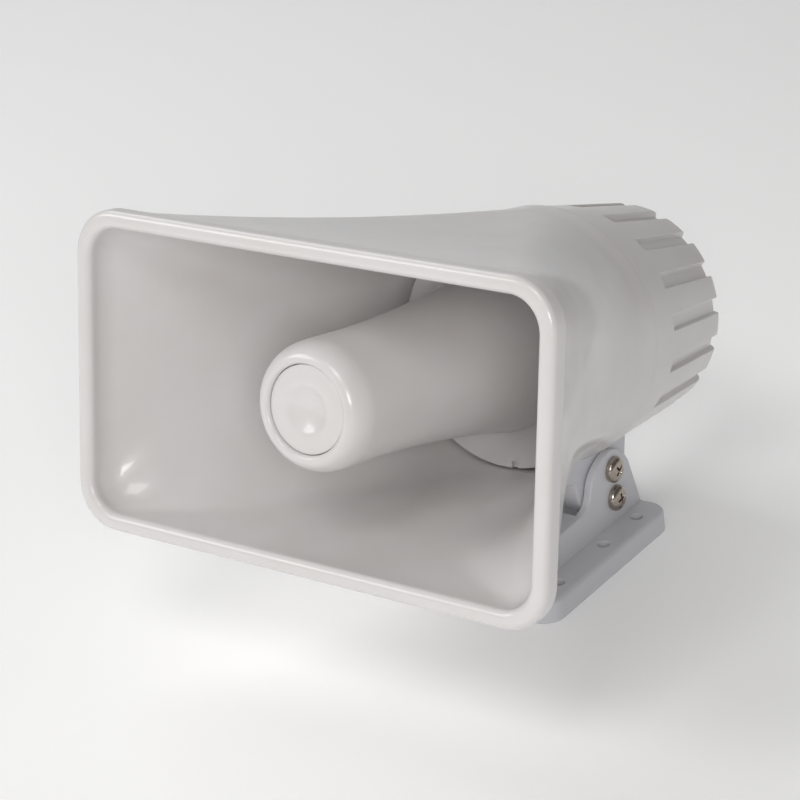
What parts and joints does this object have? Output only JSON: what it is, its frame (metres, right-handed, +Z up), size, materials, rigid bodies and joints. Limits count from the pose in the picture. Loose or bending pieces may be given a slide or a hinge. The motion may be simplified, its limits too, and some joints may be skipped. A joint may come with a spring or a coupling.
{
  "type": "horn loudspeaker",
  "caption": "White re-entrant horn loudspeaker with a flared oval-cornered mouth, a central reflector cup, a ribbed rear cap and a tilting two-ear bracket.",
  "frame": {"origin": "centre of the bracket's flat underside", "axes": "+X to the horn's right as seen from behind it, +Y towards the rear of the horn, +Z up out of the mounting surface; the mouth looks along -Y"},
  "size_m": [0.203, 0.2327, 0.1743],
  "materials": {
    "horn_white": "smooth off-white moulded plastic, softly glossy",
    "bracket_white": "slightly cooler off-white moulded plastic, satin",
    "driver_black": "black glass-filled plastic",
    "seal_rubber": "black rubber",
    "grommet_rubber": "black rubber",
    "phenolic": "brown resin-bonded cloth",
    "former_paper": "pale film former",
    "copper_wire": "enamelled copper wire",
    "surround_cloth": "treated cloth",
    "zinc_steel": "zinc-plated steel",
    "ferrite": "dark grey ferrite",
    "screw_nickel": "nickel-plated steel",
    "brass_tag": "tinned brass",
    "brass_insert": "turned brass",
    "wire_red": "red wire insulation",
    "block_plastic": "ivory terminal block plastic"
  },
  "bodies": {
    "bracket": {"bracket_base": "bracket_white", "lock_screws": "screw_nickel", "lock_nuts": "screw_nickel", "lock_washers": "screw_nickel"},
    "horn": {"horn_bell": "horn_white", "throat_plate": "horn_white", "throat_tube": "horn_white", "reflector_cup": "horn_white", "reflector_nose_disc": "horn_white", "cup_spider": "horn_white", "phase_plug": "driver_black", "driver_gasket": "seal_rubber", "surround": "surround_cloth", "diaphragm_ring": "driver_black", "top_plate": "zinc_steel", "ring_magnet": "ferrite", "pole_plate": "zinc_steel", "driver_screws": "screw_nickel", "terminal_strip": "phenolic", "terminal_tags": "brass_tag", "lead_wires": "wire_red", "terminal_block": "block_plastic", "terminal_screws": "screw_nickel", "rear_cap": "horn_white", "cap_seal": "seal_rubber", "cap_screws": "screw_nickel", "cable_grommet": "grommet_rubber", "mount_foot": "bracket_white", "foot_screws": "screw_nickel", "pivot_inserts": "brass_insert", "pivot_screws": "screw_nickel"},
    "diaphragm_unit": {"diaphragm": "phenolic", "coil_former": "former_paper", "voice_coil": "copper_wire"}
  },
  "joints": [
    {"name": "horn_tilt", "type": "hinge", "parent": "bracket", "child": "horn", "pos_m": [0, 0.024, 0.0316], "axis": [-1, 0, 0], "range_deg": [-15, 20]},
    {"name": "diaphragm_travel", "type": "slide", "parent": "horn", "child": "diaphragm_unit", "axis": [0, 0.9756, -0.2193], "range_m": [-0.0004, 0.0004], "stiffness_N_per_m": 2000, "deforming": ["surround"]}
  ]
}
